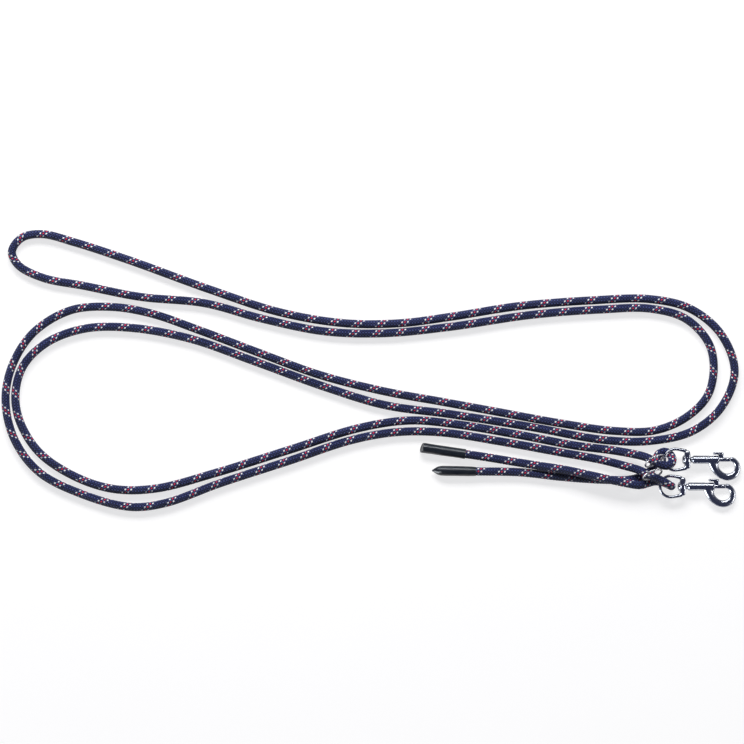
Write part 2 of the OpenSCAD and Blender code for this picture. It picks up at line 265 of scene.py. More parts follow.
def skinned(grid: Points, closed: bool = False, surface: tuple[Points, float] | None = None) -> Shape:
    """A skin over rings of points, each ring wrapped on itself, with both ends fanned shut.

    Args:
        grid: the rings, as an array of rings by corners by three.
        closed: whether the last ring joins the first, as on a torus, so that there are no ends.
        surface: the first surface coordinate of each ring, and how much the second one grows
            round a ring.

    Returns:
        The shape, its faces pointing away from the rings' middles.
    """
    rings, corners = grid.shape[:2]
    spans = rings if closed else rings - 1
    i, j = np.meshgrid(np.arange(spans), np.arange(corners), indexing="ij")
    i2, j2 = (i + 1) % rings, (j + 1) % corners
    here, there = i * corners, i2 * corners
    quads = np.stack([here + j, here + j2, there + j2, there + j], -1).reshape(-1, 4)
    points = grid.reshape(-1, 3)
    tris = np.zeros((0, 3), int)
    if not closed:
        k = np.arange(corners)
        k2 = (k + 1) % corners
        first, last = len(points), len(points) + 1
        far = (rings - 1) * corners
        tris = np.vstack([np.stack([np.full(corners, first), k2, k], 1),
                          np.stack([np.full(corners, last), far + k, far + k2], 1)])
        points = np.vstack([points, grid[0].mean(0), grid[-1].mean(0)])
    if surface is None:
        return Shape(points, quads, tris)
    along, around = surface
    u = np.append(along, along[0] + along[-1] - along[-2])
    share = around / corners
    low, high = j * share, (j + 1) * share
    quad_uv = np.stack([u[i], low, u[i], high, u[i + 1], high, u[i + 1], low], -1).reshape(-1, 2)
    tri_uv = np.repeat([[along[0], 0.0], [along[-1], 0.0]], len(tris) * 3 // 2, axis=0)
    return Shape(points, quads, tris, np.vstack([quad_uv, tri_uv]))


def swept(line: Line, half_side: Points, half_up: Points, sides: int, fullness: float = 2.0) -> Shape:
    """A solid whose cross section is a rounded oval carried along a line.

    Each corner is the line's point plus half_side times c along side and half_up times s along up,
    where c and s are the cosine and sine to the power 2 / fullness, sign kept.

    Args:
        line: the line through the section's middle.
        half_side: half the section's width at each point of the line.
        half_up: half its height there.
        sides: how many corners a section has.
        fullness: 2 for an ellipse, and more for a squarer section.

    Returns:
        The shape, shut at both ends.
    """
    turn = 2 * np.pi * np.arange(sides) / sides
    c, s = np.cos(turn), np.sin(turn)
    c, s = np.sign(c) * np.abs(c) ** (2 / fullness), np.sign(s) * np.abs(s) ** (2 / fullness)
    grid = (line.points[:, None] + line.side[:, None] * (half_side[:, None] * c)[..., None]
            + line.up[:, None] * (half_up[:, None] * s)[..., None])
    return skinned(grid)


def turned(profile: Sequence[tuple[float, float]], sides: int = 48) -> Shape:
    """A profile turned about the x axis.

    Args:
        profile: pairs of x and radius, from one end to the other.
        sides: how many corners a ring has.

    Returns:
        The shape, shut at both ends.
    """
    line = np.array(profile, float)
    turn = 2 * np.pi * np.arange(sides) / sides
    x = np.repeat(line[:, :1], sides, axis=1)
    r = np.maximum(line[:, 1:], 0.0)
    return skinned(np.stack([x, r * np.cos(turn), r * np.sin(turn)], -1))


def pillow(centre: tuple[float, float, float], half: tuple[float, float, float], fullness: float,
           steps: int = 40) -> Shape:
    """A rounded block: an ellipsoid whose sines and cosines are to the power 2 / fullness.

    Args:
        centre: the block's middle.
        half: half its size along each axis.
        fullness: 2 for an ellipsoid, and more for a squarer block.
        steps: how many rings it has.

    Returns:
        The closed shape.
    """
    def rounded(value: Points) -> Points:
        """A sine or cosine to the power 2 / fullness, sign kept."""
        return np.sign(value) * np.abs(value) ** (2 / fullness)

    tilt = np.linspace(-np.pi / 2, np.pi / 2, steps)[1:-1, None]
    turn = (2 * np.pi * np.arange(2 * steps) / (2 * steps))[None, :]
    x = half[0] * rounded(np.sin(tilt)) * np.ones_like(turn)
    y = half[1] * rounded(np.cos(tilt)) * rounded(np.cos(turn))
    z = half[2] * rounded(np.cos(tilt)) * rounded(np.sin(turn))
    return skinned(np.stack([x, y, z], -1) + np.array(centre))


def together(shapes: Sequence[Shape]) -> Shape:
    """Several shapes as one mesh, without joining their surfaces.

    Args:
        shapes: the shapes.

    Returns:
        A shape with all their points and faces, and no surface coordinates.
    """
    starts = np.cumsum([0] + [len(s.points) for s in shapes[:-1]])
    return Shape(np.vstack([s.points for s in shapes]),
                 np.vstack([s.quads + n for s, n in zip(shapes, starts)]),
                 np.vstack([s.tris + n for s, n in zip(shapes, starts)]))


def settle(piece: bpy.types.Object) -> None:
    """Applies the piece's modifiers to its mesh.

    Args:
        piece: the piece, whose mesh is replaced by the modified one.
    """
    graph = bpy.context.evaluated_depsgraph_get()
    mesh = bpy.data.meshes.new_from_object(piece.evaluated_get(graph))
    piece.modifiers.clear()
    old, piece.data = piece.data, mesh
    bpy.data.meshes.remove(old)


def cast(name: str, solids: Sequence[Shape], cuts: Sequence[Shape], voxel: float,
         blend: int) -> bpy.types.Object:
    """Melts solids into one casting with soft inner corners, and cuts bores and slots out of it.

    Args:
        name: the piece's name.
        solids: closed shapes that overlap.
        cuts: closed shapes that are taken away.
        voxel: the grain of the melted surface, in metres.
        blend: how many times the melted surface is smoothed.

    Returns:
        The piece.
    """
    piece = together(solids).piece(name)
    melt = piece.modifiers.new("melt", "REMESH")
    melt.mode, melt.voxel_size, melt.use_smooth_shade = "VOXEL", voxel, True
    soften = piece.modifiers.new("soften", "SMOOTH")
    soften.factor, soften.iterations = 0.5, blend
    settle(piece)
    for cut in cuts:
        tool = cut.piece(name + "_cut")
        knife = piece.modifiers.new("cut", "BOOLEAN")
        knife.operation, knife.solver, knife.object = "DIFFERENCE", "EXACT", tool
        settle(piece)
        bpy.data.objects.remove(tool)
    piece.data.polygons.foreach_set("use_smooth", np.ones(len(piece.data.polygons), bool))
    piece.data.set_sharp_from_angle(angle=math.radians(42))
    return piece


# --- Finishes -----------------------------------------------------------------------------------

Colour = tuple[float, float, float]


class NodeBench:
    """Builds a material's nodes, so that a pattern reads as a formula."""

    def __init__(self, name: str) -> None:
        """Starts a material with only a shader and an output.

        Args:
            name: the material's name.
        """
        self.material = bpy.data.materials.new(name)
        self.material.use_nodes = True
        self.tree = self.material.node_tree
        self.tree.nodes.clear()
        self.shader = self.tree.nodes.new("ShaderNodeBsdfPrincipled")
        output = self.tree.nodes.new("ShaderNodeOutputMaterial")
        self.tree.links.new(self.shader.outputs[0], output.inputs["Surface"])

    def give(self, socket: bpy.types.NodeSocket, value: object) -> None:
        """Feeds an input.

        Args:
            socket: the input.
            value: an output to link to it, or what to set it to.
        """
        if isinstance(value, bpy.types.NodeSocket):
            self.tree.links.new(value, socket)
        else:
            socket.default_value = value

    def set(self, **values: object) -> None:
        """Feeds the shader's inputs, named in lower case with underscores."""
        for name, value in values.items():
            self.give(self.shader.inputs[name.replace("_", " ").title().replace("Ior", "IOR")], value)

    def sum(self, kind: str, *values: object) -> bpy.types.NodeSocket:
        """A Math node.

        Args:
            kind: the node's operation.
            values: what goes into it.

        Returns:
            Its output.
        """
        node = self.tree.nodes.new("ShaderNodeMath")
        node.operation = kind
        for socket, value in zip(node.inputs, values):
            self.give(socket, value)
        return node.outputs[0]

    def mix(self, share: object, low: object, high: object) -> bpy.types.NodeSocket:
        """A mix of two colours.

        Args:
            share: how much of the second colour there is.
            low: the first colour.
            high: the second colour.

        Returns:
            The mixed colour.
        """
        node = self.tree.nodes.new("ShaderNodeMix")
        node.data_type = "RGBA"
        for socket, value in zip((node.inputs[0], node.inputs[6], node.inputs[7]), (share, low, high)):
            self.give(socket, (*value, 1.0) if isinstance(value, tuple) else value)
        return node.outputs[2]

    def noise(self, scale: float, detail: float = 3.0) -> bpy.types.NodeSocket:
        """A noise on the object's coordinates.

        Args:
            scale: its waves in a metre.
            detail: how many finer layers it has.

        Returns:
            A value from 0 to 1.
        """
        node = self.tree.nodes.new("ShaderNodeTexNoise")
        node.inputs["Scale"].default_value = scale
        node.inputs["Detail"].default_value = detail
        self.give(node.inputs["Vector"], self.place())
        return node.outputs[0]

    def place(self) -> bpy.types.NodeSocket:
        """The object's own coordinates."""
        return self.tree.nodes.new("ShaderNodeTexCoord").outputs["Object"]

    def surface(self) -> tuple[bpy.types.NodeSocket, bpy.types.NodeSocket]:
        """The piece's surface coordinates.

        Returns:
            Turns of the tracer along the piece, and turns round it.
        """
        node = self.tree.nodes.new("ShaderNodeUVMap")
        node.uv_map = "surface"
        parts = self.tree.nodes.new("ShaderNodeSeparateXYZ")
        self.give(parts.inputs[0], node.outputs[0])
        return parts.outputs[0], parts.outputs[1]

    def spread(self, value: object, low: float, high: float, to_low: float,
               to_high: float) -> bpy.types.NodeSocket:
        """Maps a value from one range to another.

        Args:
            value: the value.
            low, high: the range that it comes from.
            to_low, to_high: the range that it goes to, and is kept inside.

        Returns:
            The mapped value.
        """
        node = self.tree.nodes.new("ShaderNodeMapRange")
        for socket, number in zip(node.inputs, (value, low, high, to_low, to_high)):
            self.give(socket, number)
        return node.outputs[0]

    def raise_by(self, height: object, depth: float,
                 over: bpy.types.NodeSocket | None = None) -> bpy.types.NodeSocket:
        """A relief.

        Args:
            height: the surface's height, from 0 to 1.
            depth: how many metres a height of 1 is.
            over: another relief that this one lies on.

        Returns:
            The normal.
        """
        node = self.tree.nodes.new("ShaderNodeBump")
        node.inputs["Distance"].default_value = depth
        self.give(node.inputs["Height"], height)
        if over is not None:
            self.give(node.inputs["Normal"], over)
        return node.outputs[0]


@dataclass(frozen=True)
class BraidFinish:
    """A plaited cover: two sets of strands that cross, with a tracer of coloured strands in one set."""

    navy: Colour = (0.008, 0.014, 0.078)
    # lighter navy painted as highlight on the yarns and on the set of strands that catches the light
    navy_highlight: Colour = (0.150, 0.195, 0.620)
    # near-black painted shade for the braid's grooves and the fine lines between its fibres
    groove_shade: Colour = (0.002, 0.002, 0.010)
    white: Colour = (0.84, 0.86, 0.92)
    crimson: Colour = (0.60, 0.030, 0.095)
    strands: int = 8
    relief: float = 0.0005

    def material(self) -> bpy.types.Material:
        """The cover's material.

        p counts the strands of one set across a point and q those of the other: p is strands times
        (round + along), and q strands times (along - round). The set that lies on top changes from
        cell to cell, like a chessboard, and a cell's colour is that of the strand on top.
        """
        b = NodeBench("braid")
        along, around = b.surface()
        p = b.sum("MULTIPLY", b.sum("ADD", around, along), float(self.strands))
        q = b.sum("MULTIPLY", b.sum("SUBTRACT", along, around), float(self.strands))
        p_cell, q_cell = b.sum("FLOOR", p), b.sum("FLOOR", q)
        p_in, q_in = b.sum("FRACT", p), b.sum("FRACT", q)
        parity = b.sum("FLOORED_MODULO", b.sum("ADD", p_cell, q_cell), 2.0)
        on_top = b.sum("LESS_THAN", parity, 0.5)
        under = b.sum("SUBTRACT", 1.0, on_top)
        across = b.sum("ADD", b.sum("MULTIPLY", on_top, p_in), b.sum("MULTIPLY", under, q_in))
        lengthwise = b.sum("ADD", b.sum("MULTIPLY", on_top, q_in), b.sum("MULTIPLY", under, p_in))
        hump = b.sum("MAXIMUM", b.sum("SINE", b.sum("MULTIPLY", across, math.pi)), 0.0)
        dive = b.sum("MAXIMUM", b.sum("SINE", b.sum("MULTIPLY", lengthwise, math.pi)), 0.0)
        crown = b.sum("MULTIPLY", b.sum("POWER", hump, 1.1), b.sum("POWER", dive, 0.3))
        yarns = b.sum("ABSOLUTE", b.sum("SINE", b.sum("MULTIPLY", across, 2 * math.pi)))
        fibres = b.sum("ABSOLUTE", b.sum("SINE", b.sum("MULTIPLY", across, 7 * math.pi)))
        fuzz = b.noise(2200.0, 4.0)
        patches = b.noise(38.0, 2.0)

        strand = b.sum("FLOORED_MODULO", p_cell, float(self.strands))
        is_white = b.sum("MULTIPLY", on_top, b.sum(
            "MAXIMUM", b.sum("COMPARE", strand, 0.0, 0.1), b.sum("COMPARE", strand, 2.0, 0.1)))
        is_crimson = b.sum("MULTIPLY", on_top, b.sum("COMPARE", strand, 1.0, 0.1))
        # Painted highlight: the lighter navy along the middles of the yarns and with the fuzz.
        thread = b.sum("ADD", b.sum("MULTIPLY", yarns, 0.7), b.sum("MULTIPLY", fuzz, 0.6))
        lit = b.spread(thread, 0.3, 1.2, 0.0, 1.0)
        # Painted highlight: cells where the first set lies on top are made darker, so that the second set
        # reads as catching more of the light.
        lit = b.sum("MULTIPLY", lit, b.spread(on_top, 0.0, 1.0, 1.0, 0.38))
        base = b.mix(lit, self.navy, self.navy_highlight)
        base = b.mix(b.spread(patches, 0.35, 0.7, 0.0, 0.35), base, self.navy)
        # Painted shade: the near-black fills the grooves between the crossings, here on the navy and below on
        # the tracer.
        base = b.mix(b.spread(crown, 0.42, 0.96, 0.98, 0.0), base, self.groove_shade)
        tracer = b.mix(is_crimson, self.white, self.crimson)
        tracer = b.mix(b.spread(crown, 0.30, 0.66, 0.96, 0.0), tracer, self.groove_shade)
        base = b.mix(b.sum("MAXIMUM", is_white, is_crimson), base, tracer)
        # Painted shade in the fine lines between the fibres.
        base = b.mix(b.spread(fibres, 0.0, 0.5, 0.22, 0.0), base, self.groove_shade)
        height = b.sum("ADD", b.sum("MULTIPLY", crown, 0.8), b.sum("MULTIPLY", yarns, 0.2))
        relief = b.raise_by(height, self.relief)
        relief = b.raise_by(b.sum("ADD", b.sum("MULTIPLY", fibres, 0.6), fuzz), self.relief / 5, relief)
        b.set(base_color=base, normal=relief, roughness=b.spread(fuzz, 0.3, 0.7, 0.5, 0.78),
              sheen_weight=0.08, sheen_roughness=0.4, specular_ior_level=0.35)
        b.shader.inputs["Sheen Tint"].default_value = (0.55, 0.6, 1.0, 1.0)
        return b.material


@dataclass(frozen=True)
class SleeveFinish:
    """Black shrink tube, with the braid's lumps and fine scuffs showing."""

    colour: Colour = (0.007, 0.011, 0.017)
    worn: Colour = (0.022, 0.028, 0.036)

    def material(self) -> bpy.types.Material:
        """Satin black whose gloss breaks up with the lumps under it."""
        b = NodeBench("shrink_sleeve")
        lumps, scuffs = b.noise(420.0, 2.0), b.noise(2600.0, 5.0)
        long_marks = b.noise(90.0, 3.0)
        marks = b.sum("ADD", long_marks, b.sum("MULTIPLY", scuffs, 0.4))
        b.set(base_color=b.mix(b.spread(scuffs, 0.5, 0.75, 0.0, 0.6), self.colour, self.worn),
              roughness=b.spread(marks, 0.4, 1.0, 0.27, 0.42),
              normal=b.raise_by(scuffs, 0.00003, b.raise_by(lumps, 0.00030)),
              specular_ior_level=0.9)
        return b.material


class Polish(Enum):
    """How bright a metal surface is, as its roughness."""

    BRIGHT = 0.10
    WORN = 0.17
    DRAWN = 0.26


@dataclass(frozen=True)
class MetalFinish:
    """Plated metal over a casting or drawn wire."""

    name: str
    colour: Colour
    dull: Colour
    polish: Polish
    waviness: float
    # dark colour painted at the rims, standing in for the dark room reflected there
    rim_shade: Colour = (0.10, 0.105, 0.125)

    def material(self) -> bpy.types.Material:
        """Bright metal with painted shade darkening it towards its rims, and a casting's slow waves, rub
        marks and dull patches.
        """
        b = NodeBench(self.name)
        waves, rubs, patches = b.noise(260.0, 2.0), b.noise(3800.0, 5.0), b.noise(700.0, 4.0)
        low = self.polish.value
        weight = b.tree.nodes.new("ShaderNodeLayerWeight")
        weight.inputs["Blend"].default_value = 0.5
        # Painted reflection: the colour darkens where the surface turns edge-on to the view, as if it
        # reflected the dark room.
        rim_shade = b.spread(weight.outputs["Facing"], 0.35, 0.85, 0.0, 0.8)
        base = b.mix(b.spread(patches, 0.45, 0.75, 0.0, 0.55), self.colour, self.dull)
        b.set(base_color=b.mix(rim_shade, base, self.rim_shade), metallic=1.0,
              roughness=b.spread(b.sum("ADD", b.sum("MULTIPLY", patches, 0.7), b.sum("MULTIPLY", rubs, 0.5)),
                                 0.35, 0.9, low, low + 0.13),
              normal=b.raise_by(rubs, 0.000006, b.raise_by(waves, self.waviness)))
        return b.material


CASTING = MetalFinish("chrome_casting", (0.60, 0.62, 0.67), (0.42, 0.43, 0.47), Polish.WORN, 0.00003)
TURNED_CHROME = MetalFinish("chrome_turned", (0.66, 0.67, 0.71), (0.50, 0.51, 0.55), Polish.BRIGHT, 0.00001)
WIRE = MetalFinish("plated_wire", (0.72, 0.72, 0.74), (0.48, 0.48, 0.50), Polish.WORN, 0.00002)
SPRING_STEEL = MetalFinish("spring_steel", (0.50, 0.50, 0.52), (0.30, 0.29, 0.28), Polish.DRAWN, 0.00003)


def paint(piece: bpy.types.Object, material: bpy.types.Material) -> None:
    """Makes a material the piece's only one.

    Args:
        piece: the piece.
        material: the material.
    """
    piece.data.materials.clear()
    piece.data.materials.append(material)


def fit(piece: bpy.types.Object, body: str, material: bpy.types.Material,
        node: str) -> bpy.types.Object:
    """Paints a finished piece, lets it ride on its body and stands it in for a CAD node.

    Args:
        piece: the piece.
        body: the body that it moves with.
        material: its only material.
        node: the CAD node that it hides.

    Returns:
        The same piece.
    """
    paint(piece, material)
    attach(piece, body)
    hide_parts(node)
    LOG.info("%s: %d faces on %s", piece.name, len(piece.data.polygons), body)
    return piece


# --- Rope and sleeves -----------------------------------------------------------------------------


@dataclass
class Rope:
    """The braided rope, with a real braid's relief and the way its tracer winds."""

    radius: float = ROPE_RADIUS
    pitch: float = 0.0258          # one turn of the tracer
    strands: int = 8               # strands in each of the braid's two sets
    corners: int = 24
    relief: float = 0.00034
    drawn_in: float = 0.011        # length over which each end narrows inside its sleeve
    line: Line = field(init=False)

    def __post_init__(self) -> None:
        """Works out the rope's middle line, which never sinks below the height at which it lies."""
        curve = spline(np.array(ROUTE))
        curve[:, 2] = np.maximum(curve[:, 2], LOW)
        self.line = Line.through(curve, self.pitch / self.strands / 2, (0.0, 1.0, 0.0))

    @property
    def length(self) -> float:
        """The rope's length along its middle."""
        return float(self.line.along[-1])

    def crown(self, along: Points, turn: Points) -> Points:
        """Height of the braid's surface from 0 to 1.

        It is the size of sin(pi p) times sin(pi q), where p and q count the strands of the two
        sets across the point, so that each crossing stands proud and the grooves run both ways.

        Args:
            along: lengths along the rope.
            turn: turns round it, from 0 to 1.

        Returns:
            The height at each.
        """
        p = self.strands * (turn + along / self.pitch)
        q = self.strands * (along / self.pitch - turn)
        return np.abs(np.sin(np.pi * p) * np.sin(np.pi * q))

    def build(self, material: bpy.types.Material) -> bpy.types.Object:
        """The rope as one closed tube laid on its route.

        Its radius is the rope's less the depth of the braid's grooves. Towards a tip it falls as the
        distance from the tip to the power 0.6.

        Args:
            material: the braid.

        Returns:
            The piece.
        """
        turn = np.arange(self.corners) / self.corners
        along = self.line.along
        r = self.radius - self.relief * (1 - self.crown(along[:, None], turn[None, :]))
        to_tip = np.minimum(along, along[-1] - along)
        r = r * np.maximum(0.06, np.minimum(1.0, to_tip / self.drawn_in) ** 0.6)[:, None]
        angle = 2 * np.pi * turn
        out = (self.line.side[:, None] * np.cos(angle)[None, :, None]
               + self.line.up[:, None] * np.sin(angle)[None, :, None])
        grid = self.line.points[:, None] + out * r[..., None]
        piece = skinned(grid, surface=(along / self.pitch, 1.0)).piece("rope")
        return fit(piece, "rope", material, "braided_rope")


@dataclass
class TipSleeve:
    """Shrink tube over the rope's tip: a hollow sleeve that follows the rope, shut at its tip."""

    number: int
    pinched: bool                  # whether the tip is squeezed to a point or cut square
    wall: float = 0.0006
    radius: float = SLEEVE_RADIUS
    corners: int = 56
    tip_reach: float = 0.010       # length over which a pinched tip flattens or a cut one tilts
    flattening: float = 0.35       # how much of its height a pinched tip loses
    tilt: float = 0.30             # slope of a square-cut tip
    dent: float = 0.00007          # depth of the dents where the braid shows through
    undented: float = 0.004        # radius below which the dents fade out

    def stations(self) -> tuple[Points, Points]:
        """The sleeve's profile.

        Returns:
            Lengths from the tip and radii, along the outside to the mouth and back along the inside.
        """
        inner = self.radius - self.wall
        if self.pinched:
            outside = [
                (-0.0011, 0.0), (-0.0010, 0.0005), (0.0004, 0.0014), (0.0024, 0.0028), (0.0048, 0.0042),
                (0.0076, 0.0051), (0.0110, 0.00550),
            ]
            inside = [(0.0066, inner - 0.0004), (0.0030, 0.0030), (0.0004, 0.0)]
        else:
            outside = [
                (-0.0004, 0.0), (-0.0005, 0.0036), (-0.0008, 0.0043), (-0.0012, 0.0048),
                (-0.0011, 0.0053), (-0.0004, 0.00558), (0.0030, 0.00568), (0.0095, 0.00552),
            ]
            inside = [(0.0030, inner), (0.0010, inner - 0.0003), (0.0005, 0.0)]
        lip = -0.00035 if self.pinched else 0.00012
        mouth = [(0.022, self.radius + 0.0001), (0.036, self.radius), (0.0440, self.radius + lip / 2),
                 (0.0464, self.radius + lip), (0.0472, self.radius + lip - 0.0001),
                 (0.0475, self.radius - 0.0005), (0.0471, inner), (0.030, inner)]
        profile = spline(np.array([(s, r, 0.0) for s, r in outside + mouth + inside]), 6)
        return profile[:, 0], np.maximum(profile[:, 1], 0.0)

    def build(self, rope: Rope, material: bpy.types.Material) -> bpy.types.Object:
        """The sleeve.

        Its radius follows the profile, plus shallow dents: a sine of 3 times the turn and 520 a metre,
        times a sine of 2 times the turn and 310 a metre. A square-cut tip is tilted by a share of
        each corner's distance to one side.

        Args:
            rope: the rope that it is on.
            material: its finish.

        Returns:
            The piece.
        """
        line = rope.line if self.pinched else rope.line.reversed()
        along, r = self.stations()
        s, r = along[:, None], r[:, None]
        turn = 2 * np.pi * np.arange(self.corners)[None] / self.corners
        near_tip = np.clip(1 - s / self.tip_reach, 0.0, 1.0)
        dent = self.dent * np.sin(3 * turn + 520 * s) * np.sin(310 * s + 2 * turn)
        r = r + dent * np.minimum(1.0, r / self.undented)
        flattening, tilt = (self.flattening, 0.0) if self.pinched else (0.0, self.tilt)
        across = r * np.cos(turn)
        above = r * np.sin(turn) * (1 - flattening * near_tip)
        ahead = tilt * near_tip * across
        point, side, up, heading = line.at(along)
        grid = (point[:, None] + side[:, None] * across[..., None] + up[:, None] * above[..., None]
                + heading[:, None] * ahead[..., None])
        # Where the tube is fuller than the height of its middle, it lies flat.
        grid[..., 2] = np.maximum(grid[..., 2], SKIM)
        piece = skinned(grid).piece(f"tip_sleeve_{self.number}")
        return fit(piece, "rope", material, f"rope_tip_sleeve_{self.number}")


# --- Slip rings -----------------------------------------------------------------------------------


@dataclass
class SlipRing:
    """A wire ring round one strand of the rope, with the small bead of its weld."""

    number: int
    place: tuple[float, float, float]
    lean: float                    # degrees about X, then roll about -Y, then turn about Z
    turn: float
    roll: float
    radius: float = 0.011
    wire: float = 0.001
    rings: int = 144
    corners: int = 20
    weld: float = 0.14             # how much thicker the wire is at its weld
    weld_reach: float = 0.07       # radians over which that fades

    def build(self, material: bpy.types.Material) -> bpy.types.Object:
        """The ring: a circle of wire turned round its place.

        The wire's thickness swells where its ends meet, as a bell curve of the turn from there.

        Args:
            material: its finish.

        Returns:
            The piece.
        """
        bow = 2 * np.pi * np.arange(self.rings)[:, None] / self.rings
        turn = 2 * np.pi * np.arange(self.corners)[None] / self.corners
        from_weld = np.minimum(bow, 2 * np.pi - bow)
        thick = self.wire * (1 + self.weld * np.exp(-(from_weld / self.weld_reach) ** 2))
        out = self.radius + thick * np.cos(turn)
        # The wire's outline runs the other way round the ring's own axis, so that faces look outwards.
        grid = np.stack([out * np.cos(bow), out * np.sin(bow), -thick * np.sin(turn)], -1)
        a, b, c = (math.radians(v) for v in (self.lean, -self.roll, self.turn))
        about_x = np.array([[1, 0, 0], [0, math.cos(a), -math.sin(a)], [0, math.sin(a), math.cos(a)]])
        about_y = np.array([[math.cos(b), 0, math.sin(b)], [0, 1, 0], [-math.sin(b), 0, math.cos(b)]])
        about_z = np.array([[math.cos(c), -math.sin(c), 0], [math.sin(c), math.cos(c), 0], [0, 0, 1]])
        shape = skinned(grid, closed=True).moved(about_z @ about_y @ about_x, np.array(self.place))
        piece = shape.piece(f"slip_ring_wire_{self.number}")
        return fit(piece, f"ring_{self.number}", material, f"slip_ring_{self.number}")


# --- Bolt snaps -----------------------------------------------------------------------------------


